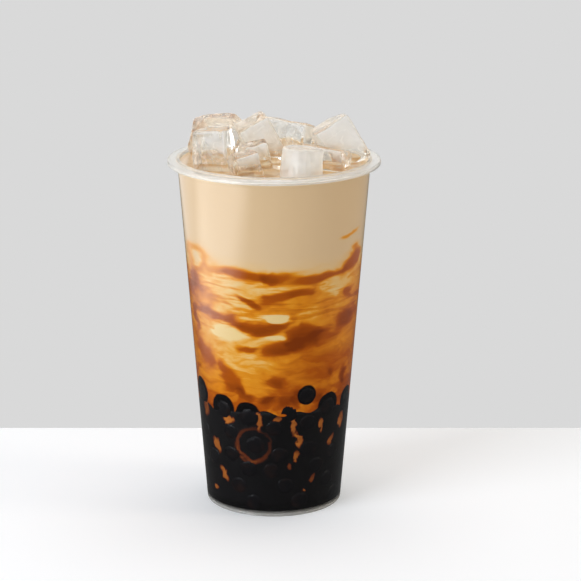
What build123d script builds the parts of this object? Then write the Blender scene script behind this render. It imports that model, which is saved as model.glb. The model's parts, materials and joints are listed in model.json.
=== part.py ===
"""A take-away cup of brown-sugar bubble tea, with a bed of tapioca pearls and a heap of ice.

The cup stands on Z = 0 with its axis on Z, and its mouth is level. The front of the heap faces -Y.
Lengths are in millimetres and angles in degrees.
"""

import os
from math import cos, floor, hypot, pi, radians, sin

from build123d import *

# ---- the cup: one injection-moulded piece, made to be sealed with film --------------------------
RIM_RADIUS = 47.5  # outside of the sealing flange
CUP_HEIGHT = 159.0
SHOULDER_RADIUS = 43.0  # outside of the wall, right under the flange
FOOT_RADIUS = 30.5  # outside of the foot ring
WALL = 1.0
FLOOR_THICKNESS = 1.4
FOOT_RECESS = 1.2  # the underside of the floor stands this far off the table
FOOT_WIDTH = 2.4
FOOT_ROUND = 0.8
FLOOR_CORNER = 2.5  # inside, where the wall meets the floor

FLANGE_THICKNESS = 1.2
LIP_RISE = 0.5  # the bead round the mouth stands this far above the flange
LIP_WIDTH = 1.4
SKIRT_DROP = 2.1  # the flange's turned-down edge
SKIRT_WIDTH = 1.2
SKIRT_ROUND = 0.5

# ---- what the cup holds -------------------------------------------------------------------------
DRINK_GAP = 2.3  # the drink ends this far below the mouth
PEARL_RADIUS = 5.2
PEARL_SPACING = 2.1  # centre to centre round a ring, in pearl radii
PEARL_WALL_GAP = 0.15
BED_DEPTH = 49.5  # from the cup's floor to the middle of the top layer of pearls
BED_UNEVENNESS = 2.6  # how far a top pearl lies above or below that

# ---- the ice ------------------------------------------------------------------------------------
HEAP_RADIUS = 42.0  # the mouth's inner radius that the heap below is laid out for
ICE_ROUND = 1.8
ICE_TAPER = 2.0  # a tray's draft
DIMPLE_DEPTH = 0.9  # the hollow in the face that froze last
DIMPLE_SHARE = 0.30  # its radius, as a share of that face's shorter side

# width, depth, height / middle x, y and height above the drink / turn about x, y and z
ICE_BLOCKS = {
    "ice_back_left": ((22, 16, 20), (-25, 12, 7), (10, 10, 25)),
    "ice_front_left": ((17, 16, 25), (-26, -13, 5), (-5, -5, -15)),
    "ice_peak": ((17, 15, 22), (-6, 0, 9), (10, -25, 15)),
    "ice_back_slab": ((24, 11, 18), (6, 17, 6), (-10, 10, -20)),
    "ice_wedge": ((19, 18, 21), (29, 4, 8), (0, -30, 10)),
    "ice_right_block": ((22, 14, 10), (22, -14, 4), (-10, 10, -15)),
    "ice_low_left": ((13, 12, 18), (-12, -28, 1), (5, -10, 25)),
    "ice_middle": ((14, 9, 18), (-8, -14, 3), (10, -10, 10)),
    "ice_back_middle": ((18, 15, 19), (-10, 31, -2), (5, -15, 20)),
    "ice_back_right": ((16, 14, 19), (22, 24, -2), (-10, 10, 45)),
}
BULLET_RADIUS = 9.4
BULLET_HEIGHT = 19.0
BULLET_CORE_RADIUS = 3.2  # the freezing finger leaves a blind hollow in the underside
BULLET_CORE_DEPTH = 12.0
BULLET_PLACE = ((12, -29, 3), (-5, 5, 0))

FLOOR_TOP = FOOT_RECESS + FLOOR_THICKNESS
FLANGE_TOP = CUP_HEIGHT - LIP_RISE
FLANGE_UNDERSIDE = FLANGE_TOP - FLANGE_THICKNESS
DRINK_LEVEL = CUP_HEIGHT - DRINK_GAP
BED_TOP = FLOOR_TOP + BED_DEPTH


def inner_radius(height):
    """Radius of the cup's inner face at a height."""
    slope = (SHOULDER_RADIUS - FOOT_RADIUS) / FLANGE_UNDERSIDE
    return FOOT_RADIUS - WALL + slope * height


def filling(low, high):
    """Sketch of half the cup's inside between two heights, on the XZ plane, with the floor's rounded corner."""
    corner = FLOOR_CORNER if low <= FLOOR_TOP else 0
    with BuildSketch(Plane.XZ) as half:
        with BuildLine():
            outline = FilletPolyline(
                (0, low),
                (inner_radius(low), low),
                (inner_radius(high), high),
                (0, high),
                radius=(corner, 0),
            )
            Line(outline @ 1, outline @ 0)
        make_face()
    return half.sketch


def bed_rings():
    """(ring radius, pearls in the ring) from the wall inwards, down to a single pearl on the axis."""
    ring = inner_radius(BED_TOP - BED_UNEVENNESS) - PEARL_WALL_GAP - PEARL_RADIUS
    rings = []
    while ring > PEARL_RADIUS:
        rings.append((ring, floor(2 * pi * ring / (PEARL_SPACING * PEARL_RADIUS))))
        ring -= PEARL_SPACING * PEARL_RADIUS
    return [*rings, (0, 1)]


def top_pearls():
    """Middles of the pearls in the top layer. Their heights rise and fall as they lie."""
    places = []
    for ring, count in bed_rings():
        for k in range(count):
            turn = 2 * pi * k / count
            wave = 0.6 * sin(2 * turn + ring) + 0.4 * cos(5 * turn - ring)
            places.append((ring * cos(turn), ring * sin(turn), BED_TOP + BED_UNEVENNESS * wave))
    return places


def heap_plane(place, turns):
    """A plane in the middle of a piece of ice. The heap shrinks and grows with the cup's mouth."""
    share = inner_radius(FLANGE_UNDERSIDE) / HEAP_RADIUS
    x, y, rise = (share * value for value in place)
    return share, Plane(Location((x, y, DRINK_LEVEL + rise), turns))


def ice_block(size, place, turns):
    """A melting ice cube: drafted sides, rounded edges and a shallow dimple in its top face."""
    share, middle = heap_plane(place, turns)
    width, depth, height = (share * value for value in size)
    dimple = DIMPLE_SHARE * min(width, depth)
    sink = min(DIMPLE_DEPTH, height / 8)
    ball = (dimple**2 + sink**2) / (2 * sink)
    with BuildPart() as block:
        with BuildSketch(middle.offset(-height / 2)):
            Rectangle(width, depth)
        extrude(amount=height, taper=ICE_TAPER)
        fillet(block.edges(), min(ICE_ROUND * share, 0.4 * min(width, depth, height)))
        with Locations(middle.offset(height / 2 - sink + ball)):
            Sphere(ball, mode=Mode.SUBTRACT)
    return block.part


def bullet_ice():
    """A round piece of ice that froze round a cold finger, so its underside is hollow."""
    share, middle = heap_plane(*BULLET_PLACE)
    height = share * BULLET_HEIGHT
    with BuildPart() as bullet:
        with BuildSketch(middle.offset(-height / 2)):
            Circle(share * BULLET_RADIUS)
        extrude(amount=height, taper=ICE_TAPER)
        fillet(bullet.faces().sort_by(Axis.Z)[-1].edges(), share * ICE_ROUND)
        with BuildSketch(middle.offset(-height / 2)):
            Circle(share * BULLET_CORE_RADIUS)
        extrude(amount=share * BULLET_CORE_DEPTH, taper=2 * ICE_TAPER, mode=Mode.SUBTRACT)
    return bullet.part


# ---- cup ----------------------------------------------------------------------------------------
foot_inside = FOOT_RADIUS - FOOT_WIDTH
mouth = inner_radius(FLANGE_UNDERSIDE)
skirt_inside = RIM_RADIUS - SKIRT_WIDTH
with BuildPart() as cup:
    with BuildSketch(Plane.XZ):
        with BuildLine():
            section = FilletPolyline(
                (0, FOOT_RECESS),
                (foot_inside, FOOT_RECESS),
                (foot_inside, 0),
                (FOOT_RADIUS, 0),
                (SHOULDER_RADIUS, FLANGE_UNDERSIDE),
                (skirt_inside, FLANGE_UNDERSIDE),
                (skirt_inside, FLANGE_TOP - SKIRT_DROP),
                (RIM_RADIUS, FLANGE_TOP - SKIRT_DROP),
                (RIM_RADIUS, FLANGE_TOP),
                (mouth + LIP_WIDTH, FLANGE_TOP),
                (mouth + LIP_WIDTH, CUP_HEIGHT),
                (mouth, CUP_HEIGHT),
                (mouth, FLANGE_UNDERSIDE),
                (inner_radius(FLOOR_TOP), FLOOR_TOP),
                (0, FLOOR_TOP),
                radius=(
                    FOOT_RECESS / 3,
                    0.3 * FOOT_ROUND,
                    FOOT_ROUND,
                    0.6 * FLANGE_THICKNESS,
                    0.4 * SKIRT_ROUND,
                    SKIRT_ROUND,
                    SKIRT_ROUND,
                    FLANGE_THICKNESS,
                    0.4 * LIP_RISE,
                    0.8 * LIP_RISE,
                    0.8 * LIP_RISE,
                    0,
                    FLOOR_CORNER,
                ),
            )
            Line(section @ 1, section @ 0)
        make_face()
    revolve(axis=Axis.Z)
cup.part.label = "cup"

# ---- tapioca pearls: one heap, flat against the wall and bumpy on top -----------------------------
with BuildPart() as pearls:
    add(filling(FLOOR_TOP, BED_TOP))
    revolve(axis=Axis.Z)
    with Locations(*top_pearls()):
        Sphere(PEARL_RADIUS)
pearls.part.label = "pearls"

# ---- ice ----------------------------------------------------------------------------------------
ice = {name: ice_block(*layout) for name, layout in ICE_BLOCKS.items()}
ice["ice_bullet"] = bullet_ice()
for name, piece in ice.items():
    piece.label = name

# ---- milk tea: from the pearls up to its level, cut round the ice ---------------------------------
with BuildPart() as milk_tea:
    add(filling(BED_TOP, DRINK_LEVEL))
    revolve(axis=Axis.Z)
    add(pearls.part, mode=Mode.SUBTRACT)
    add(list(ice.values()), mode=Mode.SUBTRACT)
milk_tea.part.label = "milk_tea"

# ---- files --------------------------------------------------------------------------------------
os.makedirs("parts", exist_ok=True)
export_step(cup.part, "parts/cup.step")
export_step(pearls.part, "parts/pearls.step")
export_step(milk_tea.part, "parts/milk_tea.step")
for name, piece in ice.items():
    export_step(piece, f"parts/{name}.step")
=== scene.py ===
"""A cup of brown-sugar bubble tea: the looks of its cup, drink, pearls and ice, laid out as an add-on.

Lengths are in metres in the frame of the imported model: Z is up along the cup's axis, and -Y is the front.
Materials, and the tables of streaks, pearls and gaps, work in millimetres and degrees.
"""

import json
from math import cos, degrees, exp, floor, hypot, pi, radians, sin

import bmesh
import bpy
import numpy as np
from bpy.props import FloatProperty, FloatVectorProperty, IntProperty, PointerProperty
from mathutils import Matrix, Vector, noise
from mathutils.bvhtree import BVHTree

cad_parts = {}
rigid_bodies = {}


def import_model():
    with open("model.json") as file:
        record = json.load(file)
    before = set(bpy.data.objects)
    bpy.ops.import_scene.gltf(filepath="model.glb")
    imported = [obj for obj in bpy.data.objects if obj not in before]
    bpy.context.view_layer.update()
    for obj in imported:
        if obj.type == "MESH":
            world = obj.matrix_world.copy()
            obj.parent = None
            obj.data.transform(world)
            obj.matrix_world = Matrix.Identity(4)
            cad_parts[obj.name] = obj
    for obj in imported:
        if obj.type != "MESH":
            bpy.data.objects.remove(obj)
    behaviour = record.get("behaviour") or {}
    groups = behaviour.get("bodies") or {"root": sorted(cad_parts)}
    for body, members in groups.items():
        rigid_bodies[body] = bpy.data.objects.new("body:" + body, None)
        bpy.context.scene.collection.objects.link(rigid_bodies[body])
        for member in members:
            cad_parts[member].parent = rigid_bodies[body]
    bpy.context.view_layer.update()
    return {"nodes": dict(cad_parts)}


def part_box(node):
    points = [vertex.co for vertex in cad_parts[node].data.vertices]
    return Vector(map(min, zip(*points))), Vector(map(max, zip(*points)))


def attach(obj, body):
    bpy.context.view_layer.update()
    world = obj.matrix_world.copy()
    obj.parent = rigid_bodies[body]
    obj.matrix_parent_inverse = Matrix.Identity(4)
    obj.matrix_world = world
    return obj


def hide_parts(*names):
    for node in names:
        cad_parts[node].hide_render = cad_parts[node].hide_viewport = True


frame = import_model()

bl_info = {
    "name": "Bubble Tea Builder",
    "version": (1, 0, 0),
    "blender": (4, 5, 0),
    "location": "3D View > Sidebar > Bubble Tea",
    "description": "Builds a clear cup of marbled milk tea with tapioca pearls and ice",
    "category": "Add Mesh",
}

MM = 0.001
CUP_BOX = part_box("cup")
TEA_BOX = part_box("milk_tea")
BED_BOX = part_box("pearls")
ICE_NODES = sorted(name for name in frame["nodes"] if name.startswith("ice_"))

CUP_HEIGHT = CUP_BOX[1].z
RIM_RADIUS = CUP_BOX[1].x
LEVEL = TEA_BOX[1].z
BED_LEVEL = TEA_BOX[0].z
FLOOR_TOP = BED_BOX[0].z
WALL_SLOPE = (TEA_BOX[1].x - BED_BOX[1].x) / (LEVEL - BED_LEVEL)


def inner_radius(height):
    """Radius of the cup's inner face at a height."""
    return BED_BOX[1].x + WALL_SLOPE * (height - BED_LEVEL)


# ---- settings -----------------------------------------------------------------------------------
def length(name, description, default):
    return FloatProperty(name=name, description=description, default=default, unit="LENGTH", precision=4)


def share(name, description, default):
    return FloatProperty(
        name=name, description=description, default=default, min=0, max=1, subtype="FACTOR",
    )


def colour(name, description, default):
    return FloatVectorProperty(
        name=name, description=description, default=default, min=0, max=1, subtype="COLOR",
    )


class CupSettings(bpy.types.PropertyGroup):
    wall: length("Wall", "Thickness of the cup's wall", 1.0 * MM)
    flange: length("Flange", "Thickness of the sealing flange", 1.2 * MM)
    skirt_drop: length("Skirt drop", "How far the flange's edge turns down", 2.1 * MM)
    skirt_width: length("Skirt width", "Thickness of the turned-down edge", 1.2 * MM)
    lip_rise: length("Lip rise", "Height of the bead round the mouth", 0.5 * MM)
    lip_width: length("Lip width", "Width of the bead round the mouth", 1.4 * MM)
    foot_recess: length("Foot recess", "Gap between the table and the floor's underside", 1.2 * MM)
    foot_width: length("Foot width", "Width of the ring that the cup stands on", 2.4 * MM)
    segments: IntProperty(name="Segments", description="Faces round the cup", default=192, min=24)
    roughness: share("Roughness", "Roughness of the clear plastic", 0.035)
    ior: FloatProperty(name="IOR", description="Index of refraction of polypropylene", default=1.49)
    clear: colour("Clear plastic", "Tint of the clear wall", (0.97, 0.975, 0.97))
    milky: colour("Milky rim", "Colour of the thick, clouded rim", (0.84, 0.80, 0.72))
    milkiness: share("Milkiness", "How clouded the rim is", 0.24)


class DrinkSettings(bpy.types.PropertyGroup):
    reach: length("Reach", "How far the drink reaches into the wall, so that no air shows", 0.25 * MM)
    meniscus: length("Meniscus", "How far the surface climbs where it meets ice or plastic", 0.7 * MM)
    meniscus_width: length("Meniscus width", "Distance over which it climbs", 1.1 * MM)
    ring: length("Ring", "Distance between the surface's rings", 0.55 * MM)
    segments: IntProperty(name="Segments", description="Faces round the drink", default=256, min=24)
    depth: length("Depth in the bed", "How far the drink reaches down among the pearls", 9.0 * MM)
    ior: FloatProperty(name="IOR", description="Index of refraction of tea", default=1.34)
    # Painted light: the drink under the ice glows though it is no lamp, to lighten its shade there.
    glow: share("Glow", "Light that comes back out of the drink under the ice", 0.12)
    tea: colour("Milk tea", "Colour of the plain milk tea", (0.77, 0.555, 0.33))
    cream: colour("Cream", "Palest part of the marbling", (0.86, 0.62, 0.28))
    gold: colour("Gold", "Thin syrup over milk", (0.84, 0.37, 0.025))
    amber: colour("Amber", "Syrup", (0.72, 0.23, 0.009))
    brown: colour("Brown", "Thick syrup", (0.45, 0.092, 0.003))
    dark: colour("Dark", "Thickest syrup", (0.22, 0.036, 0.001))
    # Painted light: a paler colour for the drink in the shade under the ice.
    painted_light_under_ice: colour("Under ice", "Drink that the ice has thinned", (0.76, 0.65, 0.50))
    caramel: colour("Caramel", "Drink with a little syrup, between the ice", (0.47, 0.22, 0.055))
    covered: colour("Covered", "A pearl seen through a thin film of drink", (0.003, 0.0025, 0.003))


class BedSettings(bpy.types.PropertyGroup):
    radius: length("Pearl", "Radius of a cooked tapioca pearl", 5.1 * MM)
    press: length("Press", "How far a pearl is pressed flat by the wall", 1.9 * MM)
    reach: length("Reach", "How far a pressed pearl reaches into the wall", 0.32 * MM)
    layer: length("Layer", "Depth in which the middles of the single pearls lie", 6.5 * MM)
    syrup_reach: length("Syrup reach", "How far the dark syrup reaches into the wall", 0.1 * MM)
    count: IntProperty(name="Pearls", description="Number of single pearls", default=104, min=1)
    seed: IntProperty(name="Seed", description="Seed of the pearls' places", default=11)
    pearl: colour("Pearl", "Colour of tapioca soaked in brown sugar", (0.0035, 0.003, 0.004))
    pearl_edge: colour("Pearl edge", "Colour where light gets into a pearl", (0.02, 0.007, 0.004))
    core_dark: colour("Core", "Colour of the bed's inside", (0.0025, 0.002, 0.0025))
    core_brown: colour("Core brown", "Thick syrup between pearls", (0.12, 0.022, 0.003))
    core_amber: colour("Core amber", "Thin syrup between pearls", (0.50, 0.15, 0.018))
    core_cream: colour("Core cream", "Milk tea between pearls", (0.80, 0.42, 0.12))


class IceSettings(bpy.types.PropertyGroup):
    voxel: length("Voxel", "Size of the mesh that the ice is melted on", 0.45 * MM)
    chips: IntProperty(name="Chips", description="Corners broken off each piece", default=6, min=0)
    chip_depth: share("Chip depth", "How deep they are broken off", 0.13)
    melt: length("Melt", "Depth of the hollows that melting leaves", 0.8 * MM)
    melt_size: length("Melt size", "Size of those hollows", 8.0 * MM)
    sink: length("Sink", "How far the drink overlaps the ice", 0.12 * MM)
    roughness: share("Roughness", "Roughness of wet ice", 0.015)
    ior: FloatProperty(name="IOR", description="Index of refraction of wet ice", default=1.36)
    clear: colour("Clear ice", "Tint of ice with a film of drink on it", (0.96, 0.94, 0.89))
    cloud: colour("Cloud", "Colour of the clouded middle", (0.98, 0.97, 0.93))
    cloudiness: share("Cloudiness", "How clouded the ice is", 0.17)
    bullet_cloudiness: share("Round piece", "How clouded the round piece of ice is", 0.64)
    # Painted highlight: facets that face this way are clouded white.
    painted_highlight_side: FloatVectorProperty(
        name="White side", description="Direction that a frosted facet faces", default=(0.35, -0.80, 0.48)
    )


class StageSettings(bpy.types.PropertyGroup):
    table_width: length("Table width", "Width and depth of the white table", 3.2)
    table_back: length("Table back", "Behind this the table is not seen, only its light", 0.0944)
    table: colour("Table", "Colour of the table", (0.86, 0.86, 0.86))
    table_glow: share("Table glow", "How much brighter the table is to the eye", 0.22)
    table_gloss: share("Table in gloss", "How bright gloss shows the table, away from the panels", 0.1)
    backdrop: colour("Backdrop", "Grey behind the table", (0.694, 0.694, 0.694))
    ambient: share("Ambient", "Light from all round", 0.28)
    panel: FloatProperty(
        name="Panel", description="Brightness of the panel that the cup mirrors", default=3.2
    )
    brightest: FloatProperty(
        name="Brightest", description="Brightest that the surroundings can be", default=3.6
    )
    camera_distance: length("Camera distance", "From the cup's axis, along the table", 1.049)
    camera_height: length("Camera height", "Above the table", 0.3866)
    camera_tilt: FloatProperty(
        name="Camera tilt", description="Downwards", default=radians(15.42), subtype="ANGLE"
    )
    focal_length: FloatProperty(name="Focal length", description="In millimetres", default=149.5)
    shift_x: FloatProperty(name="Shift", description="Sideways shift of the picture", default=0.0284)


# ---- shader maths -------------------------------------------------------------------------------
class Value:
    """An output of a node. An operator between values, or a value and a number, adds a Math node."""

    def __init__(self, nodes, socket):
        self.nodes = nodes
        self.socket = socket

    def math(self, operation, *others):
        return self.nodes.add("ShaderNodeMath", {"operation": operation}, (self, *others))

    def __add__(self, other):
        return self.math("ADD", other)

    def __mul__(self, other):
        return self.math("MULTIPLY", other)

    def __sub__(self, other):
        return self.math("SUBTRACT", other)

    def __rsub__(self, other):
        return self.nodes.add("ShaderNodeMath", {"operation": "SUBTRACT"}, (other, self))

    def __truediv__(self, other):
        return self.math("DIVIDE", other)

    def __neg__(self):
        return self.math("MULTIPLY", -1)

    def __abs__(self):
        return self.math("ABSOLUTE")

    __radd__ = __add__
    __rmul__ = __mul__

    def at_least(self, other):
        return self.math("MAXIMUM", other)

    def at_most(self, other):
        return self.math("MINIMUM", other)

    def ramp(self, low, high):
        """0 where the value is low and 1 where it is high, with a smooth rise between."""
        settings = {"interpolation_type": "SMOOTHSTEP"}
        return self.nodes.add("ShaderNodeMapRange", settings, {0: self, 1: low, 2: high})


class Nodes:
    """The node tree of a material or of the world."""

    def __init__(self, owner):
        owner.use_nodes = True
        self.tree = owner.node_tree
        self.tree.nodes.clear()

    def add(self, kind, settings=None, inputs=(), output=0):
        """One node: its settings first, then numbers or values on its inputs, by place or by name."""
        node = self.tree.nodes.new(kind)
        for key, setting in (settings or {}).items():
            if key == "stops":
                self.set_stops(node.color_ramp, setting)
            else:
                setattr(node, key, setting)
        pairs = inputs.items() if isinstance(inputs, dict) else enumerate(inputs)
        for key, entry in pairs:
            if isinstance(entry, Value):
                self.tree.links.new(entry.socket, node.inputs[key])
            else:
                node.inputs[key].default_value = entry
        return Value(self, node.outputs[output])

    def set_stops(self, ramp, stops):
        while len(ramp.elements) < len(stops):
            ramp.elements.new(1)
        for element, (place, shade) in zip(ramp.elements, stops):
            element.position = place
            element.color = (*shade, 1)

    def mix(self, factor, first, second):
        """Colour between two colours."""
        first, second = (
            entry if isinstance(entry, Value) else (*entry, 1) for entry in (first, second)
        )
        return self.add("ShaderNodeMix", {"data_type": "RGBA"}, {0: factor, 6: first, 7: second}, 2)

    def vector(self, operation, first, second):
        return self.add("ShaderNodeVectorMath", {"operation": operation}, (first, second))

    def place(self):
        """Object coordinates in millimetres, as a vector and as x, y and z."""
        metres = self.add("ShaderNodeTexCoord", output="Object")
        scaled = self.vector("MULTIPLY", metres, (1 / MM,) * 3)
        split = self.add("ShaderNodeSeparateXYZ", inputs=(scaled,))
        outputs = split.socket.node.outputs
        return scaled, *(Value(self, outputs[axis]) for axis in "XYZ")

    def noise(self, place, size, stretch=(1, 1, 1), detail=2.0, warp=0.0, shift=(0, 0, 0), output=0):
        """Noise with features of a size in millimetres."""
        scaled = self.vector("MULTIPLY", place, tuple(s / size for s in stretch))
        moved = self.vector("ADD", scaled, shift)
        inputs = {"Vector": moved, "Scale": 1.0, "Detail": detail, "Distortion": warp}
        return self.add("ShaderNodeTexNoise", {"noise_dimensions": "3D"}, inputs, output)

    def light_path(self, *names):
        """1 on rays of any of the named kinds."""
        path = self.add("ShaderNodeLightPath").socket.node
        total = Value(self, path.outputs[names[0]])
        for name in names[1:]:
            total = total.at_least(Value(self, path.outputs[name]))
        return total

    def principled(self, **inputs):
        named = {key.replace("_", " ").title().replace("Ior", "IOR"): v for key, v in inputs.items()}
        for key, entry in named.items():
            if hasattr(entry, "__len__") and len(entry) == 3:
                named[key] = (*entry, 1)
        return self.add("ShaderNodeBsdfPrincipled", inputs=named)

    def bump(self, height, strength, distance):
        inputs = {"Strength": strength, "Distance": distance, "Height": height}
        return self.add("ShaderNodeBump", inputs=inputs)

    def mix_shader(self, factor, first, second):
        return self.add("ShaderNodeMixShader", inputs=(factor, first, second))

    def lets_light_in(self, shader, tint):
        """The shader, but clear to shadow and diffuse rays, so that light reaches what is inside."""
        clear = self.add("ShaderNodeBsdfTransparent", inputs=((*tint, 1),))
        return self.mix_shader(self.light_path("Is Shadow Ray", "Is Diffuse Ray"), shader, clear)

    def finish(self, shader, kind="ShaderNodeOutputMaterial"):
        self.tree.links.new(shader.socket, self.tree.nodes.new(kind).inputs["Surface"])


def material(name):
    made = bpy.data.materials.new(name)
    return made, Nodes(made)


# ---- mesh helpers -------------------------------------------------------------------------------
def piece_from(name, bm, made, smooth_angle=None):
    """A finished object at the origin, with its material, from a bmesh."""
    mesh = bpy.data.meshes.new(name)
    bm.to_mesh(mesh)
    bm.free()
    return piece_of(name, mesh, made, smooth_angle)


def piece_of(name, mesh, made, smooth_angle=None):
    mesh.materials.clear()
    mesh.materials.append(made)
    mesh.shade_smooth()
    if smooth_angle is not None:
        mesh.set_sharp_from_angle(angle=smooth_angle)
    piece = bpy.data.objects.new(name, mesh)
    bpy.context.scene.collection.objects.link(piece)
    return piece


def ring_of(bm, outline, rounds=(), cuts=(), segments=192):
    """Spins a closed outline of (radius, height) points, from axis to axis, round Z.

    rounds gives (point, how far from it the rounding starts), and cuts (first point of a side, cuts in it).
    """
    corners = [bm.verts.new((r, 0, z)) for r, z in outline]
    bm.faces.new(corners)
    sides = [(bm.edges.get((corners[first], corners[first + 1])), number) for first, number in cuts]
    bmesh.ops.delete(bm, geom=[bm.edges.get((corners[-1], corners[0]))], context="EDGES")
    for edge, number in sides:
        bmesh.ops.subdivide_edges(bm, edges=[edge], cuts=number)
    for point, start in rounds:
        r, z = outline[point]
        corner = min(bm.verts, key=lambda vert: (vert.co - Vector((r, 0, z))).length)
        bmesh.ops.bevel(
            bm, geom=[corner], offset=start, offset_type="OFFSET", affect="VERTICES",
            segments=6, profile=0.5, material=-1,
        )
    bmesh.ops.spin(
        bm, geom=bm.verts[:] + bm.edges[:], cent=(0, 0, 0), axis=(0, 0, 1), dvec=(0, 0, 0),
        angle=2 * pi, steps=segments, use_merge=True, use_duplicate=False,
    )
    bmesh.ops.remove_doubles(bm, verts=bm.verts[:], dist=1e-6)
    bmesh.ops.recalc_face_normals(bm, faces=bm.faces[:])


def evaluated(piece):
    """The piece's mesh with its modifiers applied. The piece itself is removed."""
    bpy.context.view_layer.update()
    seen = piece.evaluated_get(bpy.context.evaluated_depsgraph_get())
    mesh = bpy.data.meshes.new_from_object(seen)
    bpy.data.objects.remove(piece)
    return mesh


def turn_of(point):
    """Angle round the cup from the front, positive to the right, in radians."""
    return np.arctan2(point[0], -point[1])


# ---- cup ----------------------------------------------------------------------------------------
def plastic_material(settings):
    made, nodes = material("clear_plastic")
    *_, z = nodes.place()
    # The plastic clouds where it is thick: from the flange's turned-down edge up, and in the foot.
    shoulder = (CUP_HEIGHT - settings.skirt_drop) / MM - 0.6
    rim = z.ramp(shoulder - 1.6, shoulder + 0.6)
    foot = z.ramp(FLOOR_TOP / MM + 0.6, FLOOR_TOP / MM - 0.8)
    clear = nodes.principled(
        base_color=settings.clear, roughness=rim * 0.2 + settings.roughness, transmission_weight=1.0,
        ior=settings.ior,
    )
    milky = nodes.principled(
        base_color=settings.milky, roughness=0.4, ior=settings.ior, coat_weight=0.2, coat_roughness=0.1,
    )
    clouded = (rim + foot) * settings.milkiness
    surface = nodes.mix_shader(clouded, clear, milky)
    nodes.finish(nodes.lets_light_in(surface, settings.clear))
    return made


def build_cup(settings):
    flange_top = CUP_HEIGHT - settings.lip_rise
    underside = flange_top - settings.flange
    mouth = inner_radius(underside)
    foot = inner_radius(0) + settings.wall
    skirt = RIM_RADIUS - settings.skirt_width
    lip = mouth + settings.lip_width
    skirt_foot = flange_top - settings.skirt_drop
    # radius, height, and how far from the corner its rounding starts, in millimetres
    profile = [
        (0, settings.foot_recess, 0),
        (foot - settings.foot_width, settings.foot_recess, 0.4),
        (foot - settings.foot_width, 0, 0.3),
        (foot, 0, 0.8),
        (mouth + settings.wall, underside, 0.6),
        (skirt, underside, 0.3),
        (skirt, skirt_foot, 0.5),
        (RIM_RADIUS, skirt_foot, 0.55),
        (RIM_RADIUS, flange_top, 1.1),
        (lip, flange_top, 0.3),
        (lip, CUP_HEIGHT, 0.22),
        (mouth, CUP_HEIGHT, 0.4),
        (mouth, underside, 0.3),
        (inner_radius(FLOOR_TOP), FLOOR_TOP, 2.0),
        (0, FLOOR_TOP, 0),
    ]
    outline = [(radius, height) for radius, height, _ in profile]
    rounds = [(point, start * MM) for point, (_, _, start) in enumerate(profile) if start]
    underfloor, outer_wall, inner_wall, floor_inside = 0, 3, 12, 13
    bm = bmesh.new()
    ring_of(
        bm, outline, rounds=rounds,
        cuts=[(outer_wall, 40), (inner_wall, 40), (underfloor, 6), (floor_inside, 6)],
        segments=settings.segments,
    )
    piece = piece_from("clear_cup", bm, plastic_material(settings))
    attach(piece, "root")
    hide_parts("cup")


# ---- ice ----------------------------------------------------------------------------------------
def ice_material(settings, name, cloudiness, even):
    """Clear ice with clouds, fine cracks and facets clouded white as a painted highlight, or evenly
    clouded, fluted ice.
    """
    made, nodes = material(name)
    place, _, _, z = nodes.place()
    facet = nodes.add("ShaderNodeNewGeometry", output="Normal")
    if even:
        ripple = nodes.bump(nodes.noise(place, 2.6, stretch=(1, 1, 0.15), detail=1), 1.0, 0.8 * MM)
        upright = nodes.add("ShaderNodeSeparateXYZ", inputs=(facet,), output="Z")
        uneven = nodes.noise(place, 8, detail=1).ramp(0.2, 0.8) * 0.3 + 0.7
        mask = uneven - 0.3 * upright.ramp(0.6, 0.95)
    else:
        ripple = nodes.bump(nodes.noise(place, 4, detail=1.5), 0.14, 0.5 * MM)
        patches = nodes.noise(place, 12, detail=1.5).ramp(0.47, 0.62)
        veins = 1 - abs(nodes.noise(place, 7, detail=1, warp=1.0) - 0.5).ramp(0.0, 0.02)
        # Painted highlight: out of the drink, facets that face the painted highlight side are clouded
        # white.
        turned = nodes.add(
            "ShaderNodeVectorMath", {"operation": "DOT_PRODUCT"}, (facet, settings.painted_highlight_side), "Value"
        )
        out_of_drink = z.ramp(LEVEL / MM + 3, LEVEL / MM + 11)
        mask = patches * 0.9 + veins * 0.9 + 0.05 + turned.ramp(0.68, 0.86) * out_of_drink * 4.8
    clear = nodes.principled(
        base_color=settings.clear, roughness=settings.roughness, transmission_weight=1.0, ior=settings.ior,
        normal=ripple,
    )
    facing = nodes.principled(base_color=settings.cloud, roughness=0.25, ior=settings.ior, normal=ripple)
    behind = nodes.add("ShaderNodeBsdfTranslucent", inputs={"Color": (*settings.cloud, 1)})
    cloud = nodes.mix_shader(0.3, facing, behind)
    mask = mask * cloudiness
    nodes.finish(nodes.lets_light_in(nodes.mix_shader(mask.at_most(1.0), clear, cloud), settings.clear))
    return made


def broken_corners(bm, settings, seed):
    """Breaks flat chips off a block, each a little further in than its corner."""
    spin = np.random.default_rng(seed)
    middle = sum((vert.co for vert in bm.verts), Vector()) / len(bm.verts)
    for _ in range(settings.chips):
        out = Vector(spin.normal(size=3)).normalized()
        reach = max((vert.co - middle).dot(out) for vert in bm.verts)
        depth = reach * (1 - settings.chip_depth * spin.uniform(0.5, 1.3))
        bmesh.ops.bisect_plane(
            bm, geom=bm.verts[:] + bm.edges[:] + bm.faces[:], plane_co=middle + out * depth, plane_no=out,
            clear_outer=True,
        )
        bmesh.ops.holes_fill(bm, edges=[edge for edge in bm.edges if edge.is_boundary], sides=0)


def fit_to_box(bm, box):
    """Stretches the mesh until it fills the box again."""
    low, high = box
    for axis in range(3):
        places = [vert.co[axis] for vert in bm.verts]
        small, big = min(places), max(places)
        grow = (high[axis] - low[axis]) / (big - small)
        for vert in bm.verts:
            vert.co[axis] = low[axis] + (vert.co[axis] - small) * grow


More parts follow.
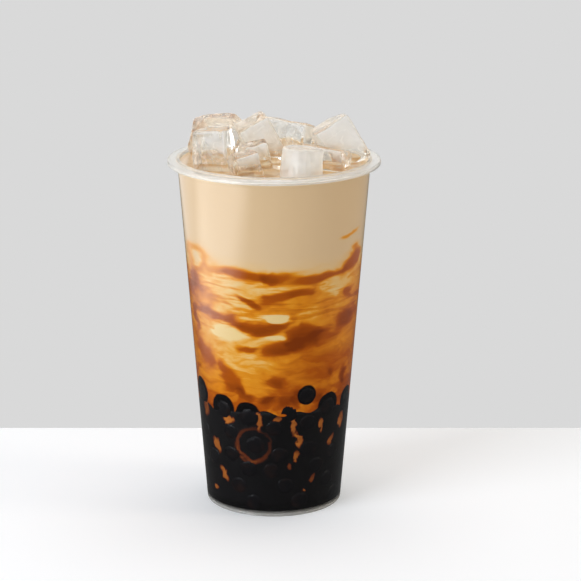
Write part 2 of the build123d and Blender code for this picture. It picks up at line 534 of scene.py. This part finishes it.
def melted_mesh(node, settings, seed):
    """A copy of a block of ice, chipped, melted into hollows and smoothed."""
    bm = bmesh.new()
    bm.from_mesh(frame["nodes"][node].data)
    bmesh.ops.remove_doubles(bm, verts=bm.verts[:], dist=1e-6)
    if node != "ice_bullet":
        broken_corners(bm, settings, seed)
    mesh = bpy.data.meshes.new(node)
    bm.to_mesh(mesh)
    bm.free()
    block = bpy.data.objects.new(node, mesh)
    bpy.context.scene.collection.objects.link(block)
    remesh = block.modifiers.new("voxels", "REMESH")
    remesh.mode = "VOXEL"
    remesh.voxel_size = settings.voxel
    bm = bmesh.new()
    bm.from_mesh(evaluated(block))
    for _ in range(4):
        bmesh.ops.smooth_vert(
            bm, verts=bm.verts[:], factor=0.5, use_axis_x=True, use_axis_y=True, use_axis_z=True,
        )
    bm.normal_update()
    offset = Vector((seed * 17.0, seed * 5.0, 0))
    for vert in bm.verts:
        at = vert.co / settings.melt_size + offset
        hollow = 0.5 + 0.5 * noise.noise(at) + 0.25 * noise.noise(at * 2.3)
        vert.co -= vert.normal * settings.melt * min(max(hollow, 0), 1)
    fit_to_box(bm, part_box(node))
    return bm


def ice_name(node):
    return node.replace("ice_", "melting_ice_")


def build_ice(settings):
    looks = {
        False: ice_material(settings, "clear_ice", settings.cloudiness, False),
        True: ice_material(settings, "clouded_ice", settings.bullet_cloudiness, True),
    }
    for seed, node in enumerate(ICE_NODES):
        clouded = node == "ice_bullet"
        piece = piece_from(ice_name(node), melted_mesh(node, settings, seed), looks[clouded])
        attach(piece, "root")
        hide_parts(node)


def ice_pieces():
    return [bpy.data.objects[ice_name(node)] for node in ICE_NODES]


# ---- drink --------------------------------------------------------------------------------------
# Brown sugar at the front: degrees round from the front, height in millimetres, half
# the width in degrees, half the height, how far the right end leans up, how far both ends bend up,
# and how strong the syrup is there. A negative strength clears the syrup away.
STREAKS = (
    (-15, 114, 28, 2.5, 0, 1, 0.8),
    (-5, 114, 5, 2.5, 0, 0, 0.4),
    (30, 112, 24, 2.2, 1, 1, 0.75),
    (60, 117, 12, 5, 3, 0, 0.8),
    (10, 105, 18, 2.6, 2.5, 0, 0.8),
    (-16, 102, 8, 1.7, -2, 0, 0.9),
    (60, 103, 6, 2.5, 0, 0, 0.5),
    (58, 91, 13, 4, 0, 0, 0.95),
    (-45, 94, 22, 2, 0, -1, 0.75),
    (-8, 89, 20, 3, 1, 4, 1.0),
    (0, 94, 10, 1.6, 0, 0, -0.8),
    (22, 86, 14, 5.5, 0, 0, 1.25),
    (14, 83, 7, 4, 0, 0, 0.5),
    (6, 80, 15, 3.5, 1.5, 0, 1.1),
    (3, 86, 8, 2, 0, 0, -0.4),
    (38, 84, 16, 3, 0, 0, 0.4),
    (-35, 86, 14, 3.5, 0, 0, -0.3),
    (-19, 80, 8, 1.2, 0, 0, 0.6),
    (-57, 74, 13, 6.5, -3, 0, 0.7),
    (-34, 66, 8, 6, -4, 0, 0.6),
    (3, 65, 9, 2.4, -1, 0, 0.9),
    (38, 72, 30, 9, 0, 0, 0.45),
    (45, 68, 4, 2, 0, 0, 0.6),
    (-23, 58, 5, 4, -2, 0, 0.8),
    (-6, 56, 8, 3, 0, 0, 1.0),
    (8, 55, 7, 3, 1, 0, 1.1),
    (17, 57, 4, 5, 0, 0, 0.9),
    (35, 56, 6, 4, 0, 0, 0.9),
    (63, 63, 4, 4, 0, 0, 1.0),
    (55, 129, 8, 1, 1, 0, 0.3),
    (-67, 107, 9, 5, 0, 0, 0.8),
    (-68, 90, 5, 6, -2, 0, 0.7),
    (-60, 118, 15, 7, 0, 0, 0.55),
    (-60, 118, 10, 4.5, 0, 0, -0.55),
    (-56, 99, 11, 6, 0, 0, 0.4),
    (-56, 99, 7, 3.5, 0, 0, -0.35),
)

# Pearls at the front: degrees round from the front, height and radius.
TOP_PEARLS = (
    (-70, 54, 6.5),
    (-42, 50, 6.5),
    (-20, 48, 6.5),
    (25, 58, 4.5),
    (45, 51, 6.0),
    (70, 50, 6.0),
)
LOW_PEARLS = (
    (-15, 35, 6.0),
    (0, 43, 4.5),
    (27, 45, 5.0),
)
# Gaps between the pearls at the front, in the same order as the streaks.
GAPS = (
    (-37, 45, 5, 2, 0, 0, 1.0),
    (-52, 31, 6, 3, -1.5, 0, 0.9),
    (-11, 47, 2.5, 5, 0, 0, 0.8),
    (4, 48, 3, 1.5, 0, 0, 0.7),
    (15, 45, 2, 6, 0, 0, 0.9),
    (19, 37, 3, 3.5, -2, 0, 1.0),
    (18, 29, 2, 3, 0, 0, 0.8),
    (12, 24, 2, 2, 0, 0, 0.6),
    (39, 42, 2, 4, 0, 0, 0.9),
    (50, 33, 4, 2.5, 1.5, 0, 0.75),
    (33, 17, 3, 2, 1, 0, 0.6),
    (26, 12, 2, 1, 0, 0, 0.8),
    (-45, 18, 4.5, 3.5, -2, 0, 0.9),
    (-57, 10, 3, 1.5, 0, 0, 0.8),
    (-63, 48, 5, 5, 0, 0, 0.6),
    (63, 41, 4, 4, 0, 0, 0.85),
    (-17, 34, 14, 8.5, 0, 0, 1.1),
    (-16.5, 34.5, 11, 6.6, 0, 0, -2.2),
)


def streak_density(turn, height, streaks, fade):
    """Adds up streaks. Each is a leaned, bent ellipse.

    fade gives the squared distance, as a share of the ellipse, at which it ends and at which it is full.
    """
    total = 0
    for middle, level, half_width, half_height, lean, bend, strength in streaks:
        along = (turn - middle) * (1 / half_width)
        square = along * along
        line = along * lean + square * bend + level
        across = (height - line) * (1 / half_height)
        inside = (square + across * across).ramp(*fade)
        total = inside * inside * strength + total
    return total


def syrup_density(nodes, place, z, wander, turn_straight):
    """How thick the brown sugar is: noise all round, with the streaks at the front."""
    parts = nodes.add("ShaderNodeSeparateXYZ", inputs=(wander,)).socket.node
    sideways, upwards = (Value(nodes, parts.outputs[axis]) for axis in "XZ")
    turn = turn_straight + (sideways - 0.5) * 24
    height = z + (upwards - 0.5) * 7

    drawn_out = nodes.vector("ADD", place, nodes.vector("MULTIPLY", wander, (14, 14, 9)))
    patches = nodes.noise(drawn_out, 22, stretch=(1, 1, 2.4), detail=3, warp=0.6).ramp(0.40, 0.80)
    strands = nodes.noise(drawn_out, 24, stretch=(1, 1, 3.6), detail=2.5, shift=(9, 3, 5))
    strands = 1 - abs(strands - 0.5).ramp(0.0, 0.11)
    # Plain tea above, marbled below and richest near the pearls, with more of it behind.
    stirred = height.ramp(124, 104)
    low = height.ramp(80, 56)
    behind = 1 - abs(turn).ramp(100, 75)
    natural = stirred * (patches * (0.42 + 0.45 * behind) + strands * 0.13 + 0.12) + low * 0.22

    # Level, drawn-out strands at mid height, and a ragged fringe just over the pearls.
    thin = nodes.noise(place, 15, stretch=(1, 1, 7), detail=2, warp=0.25).ramp(0.48, 0.66)
    natural = natural + thin * height.ramp(116, 108) * height.ramp(82, 92) * 0.30
    fringe = z.ramp(66, 53) * (0.25 + 1.4 * patches) * 0.9
    natural = natural + fringe

    # Denser, so darker, round both sides of the front, and from there on to the right.
    edge = abs(turn_straight).ramp(48, 74) * height.ramp(122, 100) * 0.30
    right_side = turn_straight.ramp(0, 55) * turn_straight.ramp(130, 80)
    edge = edge + right_side * height.ramp(108, 88) * 0.16

    # Each streak has a wide haze round it.
    hazy = streak_density(turn, height, STREAKS, fade=(3.6, 0.0)) * 0.36
    drawn = streak_density(turn, height, STREAKS, fade=(1.9, 0.0)) * 0.98
    density = natural + hazy + edge + drawn
    grain = nodes.noise(drawn_out, 6, stretch=(1, 1, 3.0), detail=3, warp=0.5) - 0.5
    return (density + grain * 0.32 * stirred) * (1 / 2.2), stirred, upwards


def tea_material(settings):
    made, nodes = material("marbled_milk_tea")
    place, x, y, z = nodes.place()
    wander = nodes.noise(place, 15, stretch=(1, 1, 2.2), detail=2.5, warp=0.4, output=1)
    turn = x.math("ARCTAN2", -y) * degrees(1)
    density, stirred, upwards = syrup_density(nodes, place, z, wander, turn)
    stops = (
        (0.0, settings.gold), (0.10, settings.gold), (0.25, settings.amber), (0.46, settings.brown),
        (1.0, settings.dark),
    )
    syrup = nodes.add("ShaderNodeValToRGB", {"stops": stops}, (density,))
    milk = nodes.mix(stirred, settings.tea, settings.cream)
    base = nodes.mix(density.ramp(-0.03, 0.18), milk, syrup)

    # The upper pearls show through the drink in front of them.
    wall_radius = 34
    shadows = (
        (at, level, degrees(radius / wall_radius), radius, 0, 0, 1.0) for at, level, radius in TOP_PEARLS
    )
    covered = streak_density(turn, z + (upwards - 0.5) * 3, shadows, fade=(1.2, 0.9))
    base = nodes.mix(covered.at_most(1.0), base, settings.covered)

    # Away from the wall, under the ice, the drink is painted paler, as painted light in the shade there,
    # and its top is patched with caramel.
    level = LEVEL / MM
    mouth = inner_radius(LEVEL) / MM
    top = z.ramp(level - 0.9, level - 0.2)
    inside = (x * x + y * y).math("SQRT").ramp(mouth - 1.6, mouth - 3.6)
    painted_light_under_ice = inside * z.ramp(level - 0.2, level - 1.4) * z.ramp(level - 16, level - 12)
    caramel = nodes.noise(place, 8, detail=1.5, shift=(4, 7, 1)).ramp(0.5, 0.66)
    lightened = nodes.mix(caramel, settings.painted_light_under_ice, settings.caramel)
    base = nodes.mix(painted_light_under_ice, base, lightened)
    base = nodes.mix(inside * top * (0.25 + caramel * 0.55), base, settings.caramel)
    # Painted light: an emission that lights the drink in the shade under the ice.
    glow = nodes.mix(painted_light_under_ice, (0, 0, 0), settings.painted_light_under_ice)
    surface = nodes.principled(
        base_color=base, roughness=0.5, ior=settings.ior, specular_ior_level=0.0,
        coat_weight=top, coat_roughness=0.05, coat_ior=settings.ior,
        emission_color=glow, emission_strength=settings.glow,
    )
    nodes.finish(surface)
    return made


def tea_outline(settings):
    """The drink's closed outline, and the sides that need rings."""
    low = BED_LEVEL - settings.depth
    edge = BED_LEVEL - 0.25 * settings.depth
    outline = [
        (0, low),
        (inner_radius(low) - settings.depth, low),
        (inner_radius(edge) + settings.reach, edge),
        (inner_radius(LEVEL) + settings.reach, LEVEL),
        (0, LEVEL),
    ]
    rings = floor(inner_radius(LEVEL) / settings.ring)
    return outline, [(1, 10), (2, 40), (3, rings)]


def ice_cutters(sink):
    """A collection of the ice drawn in by the overlap, and a search tree of each piece."""
    cutters = bpy.data.collections.new("cutters")
    bpy.context.scene.collection.children.link(cutters)
    trees = []
    for piece in ice_pieces():
        shape = bmesh.new()
        shape.from_mesh(piece.data)
        trees.append(BVHTree.FromBMesh(shape))
        for vert in shape.verts:
            vert.co -= vert.normal * sink
        mesh = bpy.data.meshes.new("cutter")
        shape.to_mesh(mesh)
        shape.free()
        cutters.objects.link(bpy.data.objects.new("cutter", mesh))
    return cutters, trees


def raise_surface(bm, trees, settings):
    """Lets the drink's surface climb where it meets ice or plastic, and swell a little elsewhere."""
    wall = inner_radius(LEVEL)
    for vert in bm.verts:
        if vert.co.z < LEVEL - 1e-6:
            continue
        distances = [wall - hypot(vert.co.x, vert.co.y)]
        for tree in trees:
            found = tree.find_nearest(vert.co, 6 * settings.meniscus_width)
            if found[0] is not None:
                distances.append(found[3])
        climb = sum(exp(-max(distance, 0) / settings.meniscus_width) for distance in distances)
        swell = noise.noise(vert.co / (11 * MM)) * 0.15 * MM
        vert.co.z += settings.meniscus * (min(climb, 1.2) - 0.25) + swell


def ruffle_underside(bm, settings):
    """Waves the drink's underside, so that it ends unevenly among the pearls."""
    for vert in bm.verts:
        if vert.co.z < BED_LEVEL:
            turn = turn_of(vert.co)
            wave = noise.noise(Vector((4 * cos(turn), 4 * sin(turn), 0))) * 3.5 * MM
            depth_share = (vert.co.z - BED_LEVEL + settings.depth) / settings.depth
            vert.co.z += wave * min(depth_share * 1.4, 1)


def build_drink(settings, sink):
    outline, cuts = tea_outline(settings)
    bm = bmesh.new()
    ring_of(bm, outline, cuts=cuts, segments=settings.segments)
    cutters, trees = ice_cutters(sink)
    raise_surface(bm, trees, settings)
    ruffle_underside(bm, settings)
    mesh = bpy.data.meshes.new("uncut_tea")
    bm.to_mesh(mesh)
    bm.free()
    body = bpy.data.objects.new("uncut_tea", mesh)
    bpy.context.scene.collection.objects.link(body)
    cut = body.modifiers.new("round the ice", "BOOLEAN")
    cut.operation = "DIFFERENCE"
    cut.solver = "MANIFOLD"
    cut.operand_type = "COLLECTION"
    cut.collection = cutters
    mesh = evaluated(body)
    for cutter in cutters.objects[:]:
        bpy.data.objects.remove(cutter)
    bpy.data.collections.remove(cutters)
    piece = piece_of("marbled_tea", mesh, tea_material(settings), radians(50))
    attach(piece, "root")
    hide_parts("milk_tea")


# ---- pearls and syrup ---------------------------------------------------------------------------
def heap_top(turn):
    """Height of the bed's top at the wall: three rises and three hollows round the cup."""
    return BED_LEVEL + 2.2 * MM + 1.6 * MM * np.cos(3 * (turn - radians(33)))


# How the pearls are pushed apart: rounds, share of each overlap that a round undoes, and how close two
# pearls may come as a share of the sum of their radii.
PUSHES = 240
PUSH_SHARE = 0.35
CLOSEST = 0.985


def pearl_places(settings):
    """Middles and radii of the single pearls, pushed apart from places drawn at random.

    The pearls at the front stay where they are given. Balls that are left out at the end hold the wide
    gaps open.
    """
    draw = np.random.default_rng(settings.seed)
    given = np.array(TOP_PEARLS + LOW_PEARLS)
    gaps = np.array([gap[:4] for gap in GAPS if gap[6] > 0.5])
    kept = len(given) + len(gaps)
    number = settings.count + kept
    radii = settings.radius * draw.uniform(0.92, 1.05, number)
    turns = draw.uniform(0, 2 * pi, number)
    heights = draw.uniform(FLOOR_TOP, BED_LEVEL + settings.radius, number)
    turns[:kept] = np.radians(np.concatenate((given[:, 0], gaps[:, 0])))
    heights[:kept] = np.concatenate((given[:, 1], gaps[:, 1])) * MM
    radii[:kept] = np.concatenate((given[:, 2], 0.8 * gaps[:, 3])) * MM
    inwards = draw.uniform(0, settings.layer - settings.radius, number)
    out = inner_radius(heights) - settings.radius - inwards
    out[:kept] = inner_radius(heights[:kept]) - radii[:kept] + settings.press
    places = np.stack((out * np.sin(turns), -out * np.cos(turns), heights), axis=1)
    fixed = places[:kept].copy()
    reach = radii[:, None] + radii[None]
    np.fill_diagonal(reach, 0)
    for _ in range(PUSHES):
        apart = places[:, None] - places[None]
        distance = np.linalg.norm(apart, axis=2) + 1e-9
        push = np.clip(reach * CLOSEST - distance, 0, None) / distance
        places = places + PUSH_SHARE * (apart * push[:, :, None]).sum(axis=1)
        out = np.hypot(places[:, 0], places[:, 1])
        wall = inner_radius(places[:, 2]) - radii + settings.press
        held = np.clip(out + 0.02 * MM, inner_radius(places[:, 2]) - settings.layer, wall)
        places[:, :2] *= (held / out)[:, None]
        top = heap_top(turn_of(places.T)) - radii
        places[:, 2] = np.clip(places[:, 2], FLOOR_TOP + 0.96 * radii, top)
        places[:kept] = fixed
    shown = np.r_[: len(given), kept:number]
    return places[shown], radii[shown]


def pearl_material(settings):
    made, nodes = material("tapioca_pearls")
    place, *_ = nodes.place()
    spots = nodes.noise(place, 5, detail=2).ramp(0.5, 0.8)
    base = nodes.mix(spots * 0.5, settings.pearl, settings.pearl_edge)
    nodes.finish(nodes.principled(base_color=base, roughness=0.3, ior=1.45, specular_ior_level=0.1))
    return made


def build_pearls(settings):
    ball = bmesh.new()
    bmesh.ops.create_cube(ball, size=2)
    bmesh.ops.subdivide_edges(ball, edges=ball.edges[:], cuts=5, use_grid_fill=True)
    for vert in ball.verts:
        vert.co.normalize()
    template = bpy.data.meshes.new("ball")
    ball.to_mesh(template)
    ball.free()
    draw = np.random.default_rng(settings.seed + 1)
    bm = bmesh.new()
    for middle, radius in zip(*pearl_places(settings)):
        before = len(bm.verts)
        bm.from_mesh(template)
        bm.verts.ensure_lookup_table()
        turned = Matrix.Rotation(draw.uniform(0, pi), 4, Vector(draw.normal(size=3)).normalized())
        uneven = Matrix.Diagonal((*(radius * draw.uniform(0.96, 1.03, 3)), 1))
        bmesh.ops.transform(
            bm, matrix=Matrix.Translation(middle) @ turned @ uneven, verts=bm.verts[before:]
        )
    bpy.data.meshes.remove(template)
    for vert in bm.verts:
        out = hypot(vert.co.x, vert.co.y)
        held = inner_radius(vert.co.z) + settings.reach
        if out > held:
            vert.co.xy *= held / out
        vert.co.z = max(vert.co.z, FLOOR_TOP - 0.15 * MM)
    return piece_from("tapioca_pearls", bm, pearl_material(settings))


def core_material(settings):
    made, nodes = material("syrup_dark")
    place, x, y, z = nodes.place()
    turn = x.math("ARCTAN2", -y) * degrees(1)
    ragged = nodes.noise(place, 4, detail=3, warp=0.6) - 0.5
    front = streak_density(turn + ragged * 9, z + ragged * 4.5, GAPS, fade=(1.9, 0.3))
    light = nodes.noise(place, 8, detail=2, warp=0.8).ramp(0.60, 0.70)
    high = z.ramp(BED_LEVEL / MM - 46, BED_LEVEL / MM - 4)
    behind = abs(turn).ramp(66, 84)
    open_gap = (front + light * behind * (0.2 + 0.8 * high)) * (1 + ragged * 0.9)
    stops = (
        (0.0, settings.core_dark), (0.12, settings.core_dark), (0.36, settings.core_brown),
        (0.72, settings.core_amber), (1.0, settings.core_cream),
    )
    base = nodes.add("ShaderNodeValToRGB", {"stops": stops}, (open_gap * 0.66,))
    nodes.finish(nodes.principled(base_color=base, roughness=0.4, specular_ior_level=0.1))
    return made


def build_bed(settings):
    pearls = build_pearls(settings)
    bottom = FLOOR_TOP + 0.1 * MM
    outline = [
        (0, bottom),
        (inner_radius(FLOOR_TOP) + settings.syrup_reach, bottom),
        (inner_radius(BED_LEVEL) + settings.syrup_reach, BED_LEVEL),
        (0, BED_LEVEL),
    ]
    bm = bmesh.new()
    ring_of(bm, outline, cuts=[(1, 12)])
    core = piece_from("bed_core", bm, core_material(settings))
    for piece in (pearls, core):
        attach(piece, "root")
        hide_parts("pearls")


# ---- stage --------------------------------------------------------------------------------------
def table_material(settings):
    """White, a little brighter to the eye, with panels of light at its sides that only gloss sees."""
    made, nodes = material("table")
    _, x, y, _ = nodes.place()
    painted = nodes.add("ShaderNodeBsdfDiffuse", inputs={"Color": (*settings.table, 1)})
    glow = nodes.add("ShaderNodeEmission", inputs={"Color": (1, 1, 1, 1), "Strength": settings.table_glow})
    lit = nodes.add("ShaderNodeAddShader", inputs=(painted, glow))
    dark = nodes.add("ShaderNodeEmission", inputs={"Color": (1, 1, 1, 1), "Strength": settings.table_gloss})
    panel = nodes.add("ShaderNodeEmission", inputs={"Color": (1, 1, 1, 1), "Strength": settings.panel})
    beside = x.ramp(-150, -310) * (0.3 + 0.7 * y.ramp(200, 0)) + x.ramp(150, 300) * 0.06
    gloss = nodes.mix_shader(beside.at_most(1.0), dark, panel)
    nothing = nodes.add("ShaderNodeBsdfTransparent")
    gone = y.ramp(settings.table_back / MM - 0.05, settings.table_back / MM + 0.05)
    gone = gone * nodes.light_path("Is Camera Ray", "Is Transmission Ray")
    seen = nodes.mix_shader(nodes.light_path("Is Glossy Ray"), painted, gloss)
    seen = nodes.mix_shader(nodes.light_path("Is Camera Ray"), seen, lit)
    nodes.finish(nodes.mix_shader(gone, seen, nothing))
    return made


# Name, place, width and height, power in watts, and tint.
LAMPS = (
    ("key", (-1.0, -0.85, 0.62), (0.8, 1.1), 13.4, (0.94, 1.0, 1.10)),
    ("fill", (1.25, -0.2, 0.4), (0.35, 1.0), 4.6, (1.0, 0.92, 0.80)),
    ("top", (0.1, 0.35, 1.3), (1.2, 0.9), 7.0, (1.0, 1.0, 1.0)),
)
LAMPS_AIM = (0, 0, 0.09)


def add_table(settings):
    bm = bmesh.new()
    bmesh.ops.create_grid(bm, x_segments=1, y_segments=1, size=0.5)
    bmesh.ops.scale(bm, vec=(settings.table_width, settings.table_width, 1), verts=bm.verts[:])
    piece_from("table", bm, table_material(settings))


def studio_world(settings):
    """Grey to the eye and even light on surfaces, with panels and dark strips for gloss and clear ice."""
    world = bpy.data.worlds.new("studio")
    nodes = Nodes(world)
    direct = nodes.add("ShaderNodeBackground", inputs=((1, 1, 1, 1), settings.ambient))
    towards = nodes.add("ShaderNodeTexCoord", output="Generated")
    split = nodes.add("ShaderNodeSeparateXYZ", inputs=(towards,)).socket.node
    sideways, forwards, upwards = (Value(nodes, split.outputs[axis]) for axis in "XYZ")
    # Brighter upwards, with a panel high on the left and an upright dark strip on either side.
    panels = upwards.ramp(-0.10, 0.25) * 0.45 + upwards.ramp(0.3, 0.9) * 0.5
    panels = panels + upwards.ramp(0.2, 0.4) * sideways.ramp(-0.1, -0.6) * 1.9
    dark_strips = (1 - abs(abs(sideways) - 0.45).ramp(0.05, 0.14)) * upwards.ramp(-0.2, -0.1)
    seen = (settings.backdrop[0] + panels) * (1 - 0.75 * dark_strips) * (1 / settings.brightest)
    # Gloss sees the viewer's side and what is below much darker.
    viewer_side = 0.15 + 0.85 * forwards.ramp(-0.8, 0.1)
    below = 0.15 + 0.85 * upwards.ramp(-0.3, -0.05)
    black = nodes.add("ShaderNodeBackground", inputs=((1, 1, 1, 1), 0.0))
    brightest = nodes.add("ShaderNodeBackground", inputs=((1, 1, 1, 1), settings.brightest))
    backdrop = nodes.add("ShaderNodeBackground", inputs=((*settings.backdrop, 1), 1.0))
    reflected = nodes.mix_shader(seen * viewer_side * below, black, brightest)
    refracted = nodes.mix_shader(seen * 0.85, black, brightest)
    light = nodes.mix_shader(nodes.light_path("Is Glossy Ray"), direct, reflected)
    light = nodes.mix_shader(nodes.light_path("Is Transmission Ray"), light, refracted)
    light = nodes.mix_shader(nodes.light_path("Is Camera Ray"), light, backdrop)
    nodes.finish(light, "ShaderNodeOutputWorld")
    return world


def add_lamp(name, place, size, power, tint):
    lamp = bpy.data.lights.new(name, "AREA")
    lamp.shape = "RECTANGLE"
    lamp.size, lamp.size_y = size
    lamp.energy = power
    lamp.color = tint
    holder = bpy.data.objects.new(name, lamp)
    holder.location = place
    holder.rotation_euler = (Vector(LAMPS_AIM) - Vector(place)).to_track_quat("-Z", "Y").to_euler()
    bpy.context.scene.collection.objects.link(holder)


def add_camera(settings):
    camera = bpy.data.cameras.new("camera")
    camera.sensor_width = 36
    camera.lens = settings.focal_length
    camera.shift_x = settings.shift_x
    camera.clip_start, camera.clip_end = 0.05, 20
    holder = bpy.data.objects.new("camera", camera)
    holder.location = (0, -settings.camera_distance, settings.camera_height)
    holder.rotation_euler = (pi / 2 - settings.camera_tilt, 0, 0)
    bpy.context.scene.collection.objects.link(holder)
    bpy.context.scene.camera = holder


def build_stage(settings):
    add_table(settings)
    bpy.context.scene.world = studio_world(settings)
    for lamp in LAMPS:
        add_lamp(*lamp)
    add_camera(settings)
    bpy.context.scene.view_settings.view_transform = "Standard"


# ---- operators and panel ------------------------------------------------------------------------
class BUBBLETEA_OT_cup(bpy.types.Operator):
    """Build the clear cup with its milky rim"""

    bl_idname = "bubbletea.cup"
    bl_label = "Cup"

    def execute(self, context):
        build_cup(context.scene.bubbletea_cup)
        return {"FINISHED"}


class BUBBLETEA_OT_ice(bpy.types.Operator):
    """Melt the blocks of ice that stand out of the drink"""

    bl_idname = "bubbletea.ice"
    bl_label = "Ice"

    def execute(self, context):
        build_ice(context.scene.bubbletea_ice)
        return {"FINISHED"}


class BUBBLETEA_OT_drink(bpy.types.Operator):
    """Pour the marbled milk tea round the ice"""

    bl_idname = "bubbletea.drink"
    bl_label = "Milk tea"

    def execute(self, context):
        build_drink(context.scene.bubbletea_drink, context.scene.bubbletea_ice.sink)
        return {"FINISHED"}


class BUBBLETEA_OT_bed(bpy.types.Operator):
    """Lay the bed of tapioca pearls in syrup"""

    bl_idname = "bubbletea.bed"
    bl_label = "Pearls and syrup"

    def execute(self, context):
        build_bed(context.scene.bubbletea_bed)
        return {"FINISHED"}


class BUBBLETEA_OT_stage(bpy.types.Operator):
    """Set up the table, the lamps and the camera"""

    bl_idname = "bubbletea.stage"
    bl_label = "Stage"

    def execute(self, context):
        build_stage(context.scene.bubbletea_stage)
        return {"FINISHED"}


OPERATORS = (BUBBLETEA_OT_cup, BUBBLETEA_OT_ice, BUBBLETEA_OT_drink, BUBBLETEA_OT_bed, BUBBLETEA_OT_stage)
SETTINGS = {
    "bubbletea_cup": CupSettings,
    "bubbletea_ice": IceSettings,
    "bubbletea_drink": DrinkSettings,
    "bubbletea_bed": BedSettings,
    "bubbletea_stage": StageSettings,
}


class BUBBLETEA_PT_build(bpy.types.Panel):
    """Sizes and colours of the bubble tea, and a button for each of its parts"""

    bl_label = "Bubble Tea"
    bl_space_type = "VIEW_3D"
    bl_region_type = "UI"
    bl_category = "Bubble Tea"

    def draw(self, context):
        for operator, name in zip(OPERATORS, SETTINGS):
            box = self.layout.box()
            box.operator(operator.bl_idname)
            group = getattr(context.scene, name)
            for setting in group.bl_rna.properties.keys():
                if setting not in {"rna_type", "name"}:
                    box.prop(group, setting)


def register():
    for made in (*SETTINGS.values(), *OPERATORS, BUBBLETEA_PT_build):
        bpy.utils.register_class(made)
    for name, group in SETTINGS.items():
        setattr(bpy.types.Scene, name, PointerProperty(type=group))


def unregister():
    for name in SETTINGS:
        delattr(bpy.types.Scene, name)
    for made in reversed((*SETTINGS.values(), *OPERATORS, BUBBLETEA_PT_build)):
        bpy.utils.unregister_class(made)


def main():
    register()
    bpy.ops.bubbletea.cup()
    bpy.ops.bubbletea.ice()
    bpy.ops.bubbletea.drink()
    bpy.ops.bubbletea.bed()
    bpy.ops.bubbletea.stage()


if __name__ == "__main__":
    main()
